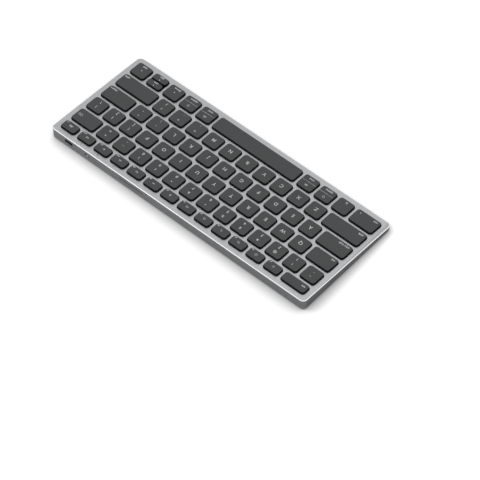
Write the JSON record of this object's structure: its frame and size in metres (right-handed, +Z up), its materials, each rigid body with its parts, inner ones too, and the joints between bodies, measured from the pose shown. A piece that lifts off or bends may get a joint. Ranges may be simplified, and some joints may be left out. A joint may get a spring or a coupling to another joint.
{
  "type": "wireless keyboard",
  "caption": "Slim one-piece wedge keyboard in a metal case, with scissor-sprung low keys in six rows, rear charging port and power switch, and rubber feet.",
  "frame": {"origin": "on the desk plane under the middle of the bounding box", "axes": "+X to the typist's right along the longest side, +Y from the space bar to the function row, +Z up from the desk"},
  "size_m": [0.2834, 0.1136, 0.0138],
  "materials": {
    "case": "bead-blasted, clear anodised",
    "cover": "bead-blasted, grey anodised",
    "plate_steel": "satin",
    "membrane": "printed polyester film",
    "dome_rubber": "matte silicone",
    "scissor_plastic": "matte",
    "wire_steel": "drawn wire",
    "screw_steel": "satin",
    "circuit_board": "solder mask",
    "battery_pouch": "foil pouch",
    "wire_jacket": "silicone jacket",
    "port_steel": "satin",
    "switch_metal": "satin",
    "switch_knob": "satin",
    "light_guide": "clear moulded",
    "window_plastic": "satin",
    "foot_rubber": "slightly glossy",
    "keycap": "fine texture"
  },
  "bodies": {
    "case": {"top_case": "case", "bottom_cover": "cover", "support_plate": "plate_steel", "switch_membrane": "membrane", "rubber_domes": "dome_rubber", "scissor_outer_frames": "scissor_plastic", "scissor_inner_frames": "scissor_plastic", "stabiliser_wires": "wire_steel", "machine_screws": "screw_steel", "controller_board": "circuit_board", "battery_cell": "battery_pouch", "battery_lead": "wire_jacket", "usb_c_port": "port_steel", "power_switch_housing": "switch_metal", "light_pipes": "light_guide", "antenna_window": "window_plastic", "rubber_feet": "foot_rubber"},
    "escape_key": {"escape_key": "keycap"},
    "backspace_key": {"backspace_key": "keycap"},
    "tab_key": {"tab_key": "keycap"},
    "caps_lock_key": {"caps_lock_key": "keycap"},
    "return_key": {"return_key": "keycap"},
    "left_shift_key": {"left_shift_key": "keycap"},
    "right_shift_key": {"right_shift_key": "keycap"},
    "space_key": {"space_key": "keycap"},
    "left_arrow_key": {"left_arrow_key": "keycap"},
    "up_arrow_key": {"up_arrow_key": "keycap"},
    "down_arrow_key": {"down_arrow_key": "keycap"},
    "right_arrow_key": {"right_arrow_key": "keycap"},
    "key_q": {"key_q": "keycap"},
    "key_w": {"key_w": "keycap"},
    "key_e": {"key_e": "keycap"},
    "key_r": {"key_r": "keycap"},
    "key_t": {"key_t": "keycap"},
    "key_y": {"key_y": "keycap"},
    "key_u": {"key_u": "keycap"},
    "key_i": {"key_i": "keycap"},
    "key_o": {"key_o": "keycap"},
    "key_p": {"key_p": "keycap"},
    "key_a": {"key_a": "keycap"},
    "key_s": {"key_s": "keycap"},
    "key_d": {"key_d": "keycap"},
    "key_f": {"key_f": "keycap"},
    "key_g": {"key_g": "keycap"},
    "key_h": {"key_h": "keycap"},
    "key_j": {"key_j": "keycap"},
    "key_k": {"key_k": "keycap"},
    "key_l": {"key_l": "keycap"},
    "key_z": {"key_z": "keycap"},
    "key_x": {"key_x": "keycap"},
    "key_c": {"key_c": "keycap"},
    "key_v": {"key_v": "keycap"},
    "key_b": {"key_b": "keycap"},
    "key_n": {"key_n": "keycap"},
    "key_m": {"key_m": "keycap"},
    "function_keys": {"function_keys": "keycap"},
    "number_keys": {"number_keys": "keycap"},
    "punctuation_keys": {"punctuation_keys": "keycap"},
    "modifier_keys": {"modifier_keys": "keycap"},
    "power_switch_slider": {"power_switch_slider": "switch_knob"}
  },
  "joints": [
    {"name": "escape_key_press", "type": "slide", "parent": "case", "child": "escape_key", "axis": [0, 0.0594, -0.9982], "range_m": [0, 0.0015], "stiffness_N_per_m": 350, "springref_m": -0.0005, "deforming": ["rubber_domes", "scissor_outer_frames", "scissor_inner_frames"]},
    {"name": "backspace_key_press", "type": "slide", "parent": "case", "child": "backspace_key", "axis": [0, 0.0594, -0.9982], "range_m": [0, 0.0015], "stiffness_N_per_m": 350, "springref_m": -0.0005, "deforming": ["rubber_domes", "scissor_outer_frames", "scissor_inner_frames"]},
    {"name": "tab_key_press", "type": "slide", "parent": "case", "child": "tab_key", "axis": [0, 0.0594, -0.9982], "range_m": [0, 0.0015], "stiffness_N_per_m": 350, "springref_m": -0.0005, "deforming": ["rubber_domes", "scissor_outer_frames", "scissor_inner_frames"]},
    {"name": "caps_lock_key_press", "type": "slide", "parent": "case", "child": "caps_lock_key", "axis": [0, 0.0594, -0.9982], "range_m": [0, 0.0015], "stiffness_N_per_m": 350, "springref_m": -0.0005, "deforming": ["rubber_domes", "scissor_outer_frames", "scissor_inner_frames", "stabiliser_wires"]},
    {"name": "return_key_press", "type": "slide", "parent": "case", "child": "return_key", "axis": [0, 0.0594, -0.9982], "range_m": [0, 0.0015], "stiffness_N_per_m": 350, "springref_m": -0.0005, "deforming": ["rubber_domes", "scissor_outer_frames", "scissor_inner_frames", "stabiliser_wires"]},
    {"name": "left_shift_key_press", "type": "slide", "parent": "case", "child": "left_shift_key", "axis": [0, 0.0594, -0.9982], "range_m": [0, 0.0015], "stiffness_N_per_m": 350, "springref_m": -0.0005, "deforming": ["rubber_domes", "scissor_outer_frames", "scissor_inner_frames", "stabiliser_wires"]},
    {"name": "right_shift_key_press", "type": "slide", "parent": "case", "child": "right_shift_key", "axis": [0, 0.0594, -0.9982], "range_m": [0, 0.0015], "stiffness_N_per_m": 350, "springref_m": -0.0005, "deforming": ["rubber_domes", "scissor_outer_frames", "scissor_inner_frames", "stabiliser_wires"]},
    {"name": "space_key_press", "type": "slide", "parent": "case", "child": "space_key", "axis": [0, 0.0594, -0.9982], "range_m": [0, 0.0015], "stiffness_N_per_m": 350, "springref_m": -0.0005, "deforming": ["rubber_domes", "scissor_outer_frames", "scissor_inner_frames", "stabiliser_wires"]},
    {"name": "left_arrow_key_press", "type": "slide", "parent": "case", "child": "left_arrow_key", "axis": [0, 0.0594, -0.9982], "range_m": [0, 0.0015], "stiffness_N_per_m": 350, "springref_m": -0.0005, "deforming": ["rubber_domes", "scissor_outer_frames", "scissor_inner_frames"]},
    {"name": "up_arrow_key_press", "type": "slide", "parent": "case", "child": "up_arrow_key", "axis": [0, 0.0594, -0.9982], "range_m": [0, 0.0015], "stiffness_N_per_m": 350, "springref_m": -0.0005, "deforming": ["rubber_domes", "scissor_outer_frames", "scissor_inner_frames"]},
    {"name": "down_arrow_key_press", "type": "slide", "parent": "case", "child": "down_arrow_key", "axis": [0, 0.0594, -0.9982], "range_m": [0, 0.0015], "stiffness_N_per_m": 350, "springref_m": -0.0005, "deforming": ["rubber_domes", "scissor_outer_frames", "scissor_inner_frames"]},
    {"name": "right_arrow_key_press", "type": "slide", "parent": "case", "child": "right_arrow_key", "axis": [0, 0.0594, -0.9982], "range_m": [0, 0.0015], "stiffness_N_per_m": 350, "springref_m": -0.0005, "deforming": ["rubber_domes", "scissor_outer_frames", "scissor_inner_frames"]},
    {"name": "key_q_press", "type": "slide", "parent": "case", "child": "key_q", "axis": [0, 0.0594, -0.9982], "range_m": [0, 0.0015], "stiffness_N_per_m": 350, "springref_m": -0.0005, "deforming": ["rubber_domes", "scissor_outer_frames", "scissor_inner_frames"]},
    {"name": "key_w_press", "type": "slide", "parent": "case", "child": "key_w", "axis": [0, 0.0594, -0.9982], "range_m": [0, 0.0015], "stiffness_N_per_m": 350, "springref_m": -0.0005, "deforming": ["rubber_domes", "scissor_outer_frames", "scissor_inner_frames"]},
    {"name": "key_e_press", "type": "slide", "parent": "case", "child": "key_e", "axis": [0, 0.0594, -0.9982], "range_m": [0, 0.0015], "stiffness_N_per_m": 350, "springref_m": -0.0005, "deforming": ["rubber_domes", "scissor_outer_frames", "scissor_inner_frames"]},
    {"name": "key_r_press", "type": "slide", "parent": "case", "child": "key_r", "axis": [0, 0.0594, -0.9982], "range_m": [0, 0.0015], "stiffness_N_per_m": 350, "springref_m": -0.0005, "deforming": ["rubber_domes", "scissor_outer_frames", "scissor_inner_frames"]},
    {"name": "key_t_press", "type": "slide", "parent": "case", "child": "key_t", "axis": [0, 0.0594, -0.9982], "range_m": [0, 0.0015], "stiffness_N_per_m": 350, "springref_m": -0.0005, "deforming": ["rubber_domes", "scissor_outer_frames", "scissor_inner_frames"]},
    {"name": "key_y_press", "type": "slide", "parent": "case", "child": "key_y", "axis": [0, 0.0594, -0.9982], "range_m": [0, 0.0015], "stiffness_N_per_m": 350, "springref_m": -0.0005, "deforming": ["rubber_domes", "scissor_outer_frames", "scissor_inner_frames"]},
    {"name": "key_u_press", "type": "slide", "parent": "case", "child": "key_u", "axis": [0, 0.0594, -0.9982], "range_m": [0, 0.0015], "stiffness_N_per_m": 350, "springref_m": -0.0005, "deforming": ["rubber_domes", "scissor_outer_frames", "scissor_inner_frames"]},
    {"name": "key_i_press", "type": "slide", "parent": "case", "child": "key_i", "axis": [0, 0.0594, -0.9982], "range_m": [0, 0.0015], "stiffness_N_per_m": 350, "springref_m": -0.0005, "deforming": ["rubber_domes", "scissor_outer_frames", "scissor_inner_frames"]},
    {"name": "key_o_press", "type": "slide", "parent": "case", "child": "key_o", "axis": [0, 0.0594, -0.9982], "range_m": [0, 0.0015], "stiffness_N_per_m": 350, "springref_m": -0.0005, "deforming": ["rubber_domes", "scissor_outer_frames", "scissor_inner_frames"]},
    {"name": "key_p_press", "type": "slide", "parent": "case", "child": "key_p", "axis": [0, 0.0594, -0.9982], "range_m": [0, 0.0015], "stiffness_N_per_m": 350, "springref_m": -0.0005, "deforming": ["rubber_domes", "scissor_outer_frames", "scissor_inner_frames"]},
    {"name": "key_a_press", "type": "slide", "parent": "case", "child": "key_a", "axis": [0, 0.0594, -0.9982], "range_m": [0, 0.0015], "stiffness_N_per_m": 350, "springref_m": -0.0005, "deforming": ["rubber_domes", "scissor_outer_frames", "scissor_inner_frames"]},
    {"name": "key_s_press", "type": "slide", "parent": "case", "child": "key_s", "axis": [0, 0.0594, -0.9982], "range_m": [0, 0.0015], "stiffness_N_per_m": 350, "springref_m": -0.0005, "deforming": ["rubber_domes", "scissor_outer_frames", "scissor_inner_frames"]},
    {"name": "key_d_press", "type": "slide", "parent": "case", "child": "key_d", "axis": [0, 0.0594, -0.9982], "range_m": [0, 0.0015], "stiffness_N_per_m": 350, "springref_m": -0.0005, "deforming": ["rubber_domes", "scissor_outer_frames", "scissor_inner_frames"]},
    {"name": "key_f_press", "type": "slide", "parent": "case", "child": "key_f", "axis": [0, 0.0594, -0.9982], "range_m": [0, 0.0015], "stiffness_N_per_m": 350, "springref_m": -0.0005, "deforming": ["rubber_domes", "scissor_outer_frames", "scissor_inner_frames"]},
    {"name": "key_g_press", "type": "slide", "parent": "case", "child": "key_g", "axis": [0, 0.0594, -0.9982], "range_m": [0, 0.0015], "stiffness_N_per_m": 350, "springref_m": -0.0005, "deforming": ["rubber_domes", "scissor_outer_frames", "scissor_inner_frames"]},
    {"name": "key_h_press", "type": "slide", "parent": "case", "child": "key_h", "axis": [0, 0.0594, -0.9982], "range_m": [0, 0.0015], "stiffness_N_per_m": 350, "springref_m": -0.0005, "deforming": ["rubber_domes", "scissor_outer_frames", "scissor_inner_frames"]},
    {"name": "key_j_press", "type": "slide", "parent": "case", "child": "key_j", "axis": [0, 0.0594, -0.9982], "range_m": [0, 0.0015], "stiffness_N_per_m": 350, "springref_m": -0.0005, "deforming": ["rubber_domes", "scissor_outer_frames", "scissor_inner_frames"]},
    {"name": "key_k_press", "type": "slide", "parent": "case", "child": "key_k", "axis": [0, 0.0594, -0.9982], "range_m": [0, 0.0015], "stiffness_N_per_m": 350, "springref_m": -0.0005, "deforming": ["rubber_domes", "scissor_outer_frames", "scissor_inner_frames"]},
    {"name": "key_l_press", "type": "slide", "parent": "case", "child": "key_l", "axis": [0, 0.0594, -0.9982], "range_m": [0, 0.0015], "stiffness_N_per_m": 350, "springref_m": -0.0005, "deforming": ["rubber_domes", "scissor_outer_frames", "scissor_inner_frames"]},
    {"name": "key_z_press", "type": "slide", "parent": "case", "child": "key_z", "axis": [0, 0.0594, -0.9982], "range_m": [0, 0.0015], "stiffness_N_per_m": 350, "springref_m": -0.0005, "deforming": ["rubber_domes", "scissor_outer_frames", "scissor_inner_frames"]},
    {"name": "key_x_press", "type": "slide", "parent": "case", "child": "key_x", "axis": [0, 0.0594, -0.9982], "range_m": [0, 0.0015], "stiffness_N_per_m": 350, "springref_m": -0.0005, "deforming": ["rubber_domes", "scissor_outer_frames", "scissor_inner_frames"]},
    {"name": "key_c_press", "type": "slide", "parent": "case", "child": "key_c", "axis": [0, 0.0594, -0.9982], "range_m": [0, 0.0015], "stiffness_N_per_m": 350, "springref_m": -0.0005, "deforming": ["rubber_domes", "scissor_outer_frames", "scissor_inner_frames"]},
    {"name": "key_v_press", "type": "slide", "parent": "case", "child": "key_v", "axis": [0, 0.0594, -0.9982], "range_m": [0, 0.0015], "stiffness_N_per_m": 350, "springref_m": -0.0005, "deforming": ["rubber_domes", "scissor_outer_frames", "scissor_inner_frames"]},
    {"name": "key_b_press", "type": "slide", "parent": "case", "child": "key_b", "axis": [0, 0.0594, -0.9982], "range_m": [0, 0.0015], "stiffness_N_per_m": 350, "springref_m": -0.0005, "deforming": ["rubber_domes", "scissor_outer_frames", "scissor_inner_frames"]},
    {"name": "key_n_press", "type": "slide", "parent": "case", "child": "key_n", "axis": [0, 0.0594, -0.9982], "range_m": [0, 0.0015], "stiffness_N_per_m": 350, "springref_m": -0.0005, "deforming": ["rubber_domes", "scissor_outer_frames", "scissor_inner_frames"]},
    {"name": "key_m_press", "type": "slide", "parent": "case", "child": "key_m", "axis": [0, 0.0594, -0.9982], "range_m": [0, 0.0015], "stiffness_N_per_m": 350, "springref_m": -0.0005, "deforming": ["rubber_domes", "scissor_outer_frames", "scissor_inner_frames"]},
    {"name": "function_keys_press", "type": "slide", "parent": "case", "child": "function_keys", "axis": [0, 0.0594, -0.9982], "range_m": [0, 0.0015], "stiffness_N_per_m": 4550, "springref_m": -0.0005, "deforming": ["rubber_domes", "scissor_outer_frames", "scissor_inner_frames"]},
    {"name": "number_keys_press", "type": "slide", "parent": "case", "child": "number_keys", "axis": [0, 0.0594, -0.9982], "range_m": [0, 0.0015], "stiffness_N_per_m": 4550, "springref_m": -0.0005, "deforming": ["rubber_domes", "scissor_outer_frames", "scissor_inner_frames"]},
    {"name": "punctuation_keys_press", "type": "slide", "parent": "case", "child": "punctuation_keys", "axis": [0, 0.0594, -0.9982], "range_m": [0, 0.0015], "stiffness_N_per_m": 2800, "springref_m": -0.0005, "deforming": ["rubber_domes", "scissor_outer_frames", "scissor_inner_frames"]},
    {"name": "modifier_keys_press", "type": "slide", "parent": "case", "child": "modifier_keys", "axis": [0, 0.0594, -0.9982], "range_m": [0, 0.0015], "stiffness_N_per_m": 2100, "springref_m": -0.0005, "deforming": ["rubber_domes", "scissor_outer_frames", "scissor_inner_frames"]},
    {"name": "power_switch_slide", "type": "slide", "parent": "case", "child": "power_switch_slider", "axis": [1, 0, 0], "range_m": [0, 0.002]}
  ]
}
